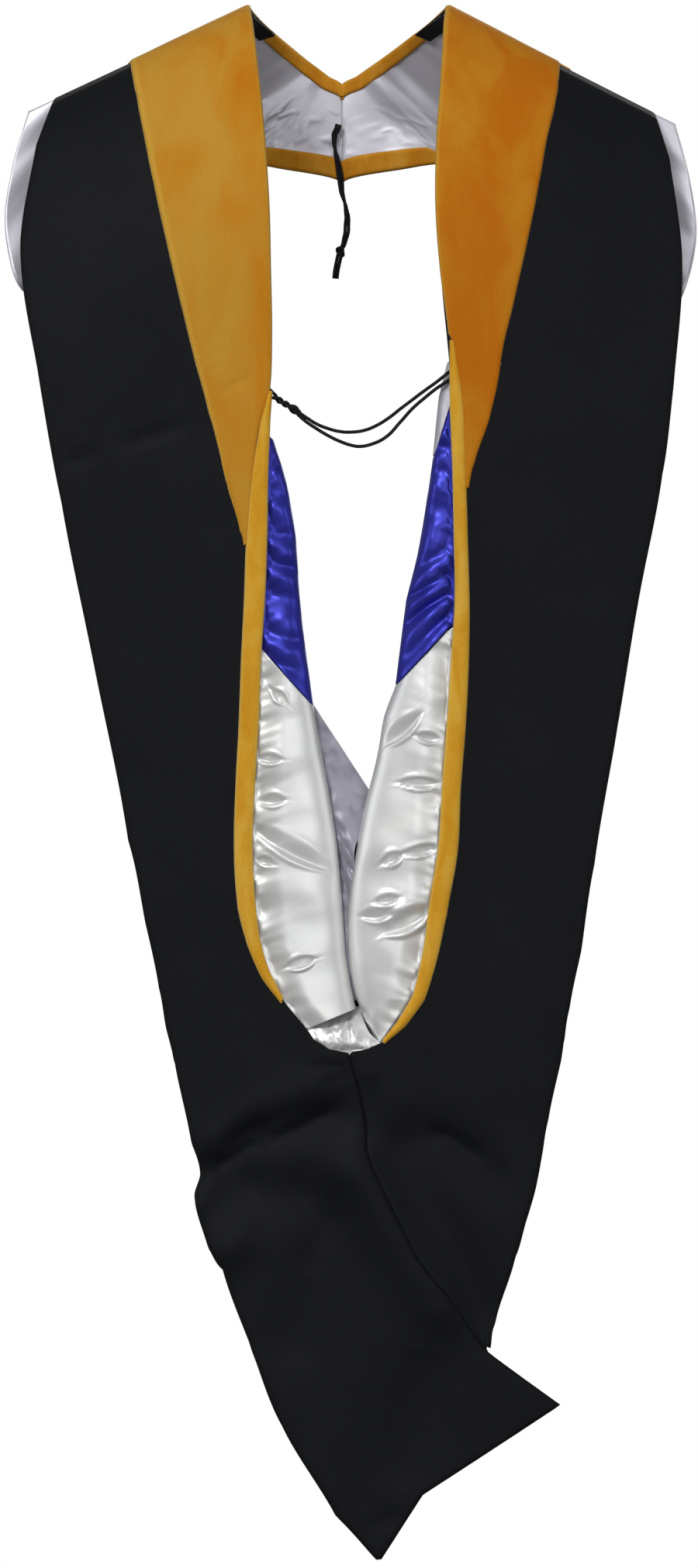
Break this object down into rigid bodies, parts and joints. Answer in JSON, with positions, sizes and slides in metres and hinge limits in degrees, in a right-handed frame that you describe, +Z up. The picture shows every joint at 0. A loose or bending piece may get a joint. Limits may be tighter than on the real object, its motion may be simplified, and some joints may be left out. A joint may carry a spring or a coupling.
{
  "type": "academic hood",
  "caption": "Academic hood held as worn: black cloth bag hanging down the back, gold velvet edge, blue and white satin lining, neckband in front and tie cords.",
  "frame": {"origin": "midway between the two neck points, on top of the shoulders, where the hood sits on its wearer", "axes": "+Z up, +Y from the back of the hood towards the neckband in front, +X to the right when the hood is seen from behind"},
  "size_m": [0.4802, 0.2004, 1.0765],
  "materials": {
    "black_cloth": "matt woven polyester",
    "gold_velvet": "short-pile velvet",
    "white_satin": "glossy satin",
    "blue_satin": "glossy satin",
    "black_cord": "braided round cord",
    "black_button": "moulded"
  },
  "bodies": {
    "root": {"back_panel_left": "black_cloth", "back_panel_right": "black_cloth", "front_panel_left": "black_cloth", "front_panel_right": "black_cloth", "neck_corner_left": "black_cloth", "neck_corner_right": "black_cloth", "velvet_wedge_left": "gold_velvet", "velvet_wedge_right": "gold_velvet", "velvet_binding_left": "gold_velvet", "velvet_binding_right": "gold_velvet", "neckband_velvet_left": "gold_velvet", "neckband_velvet_right": "gold_velvet", "neckband_top_left": "gold_velvet", "neckband_top_right": "gold_velvet", "neckband_hem_left": "gold_velvet", "neckband_hem_right": "gold_velvet", "front_lining_left": "white_satin", "front_lining_right": "white_satin", "lining_upper_right": "white_satin", "lining_blue_left": "blue_satin", "lining_blue_right": "blue_satin", "lining_white_left": "white_satin", "lining_white_right": "white_satin", "lining_centre": "white_satin", "lining_tuck": "white_satin", "cross_cord_upper": "black_cord", "cross_cord_lower": "black_cord", "cross_cord_knot": "black_cord", "front_cord_left": "black_cord", "front_cord_right": "black_cord", "front_cord_knot": "black_cord", "cord_button": "black_button"}
  },
  "joints": []
}
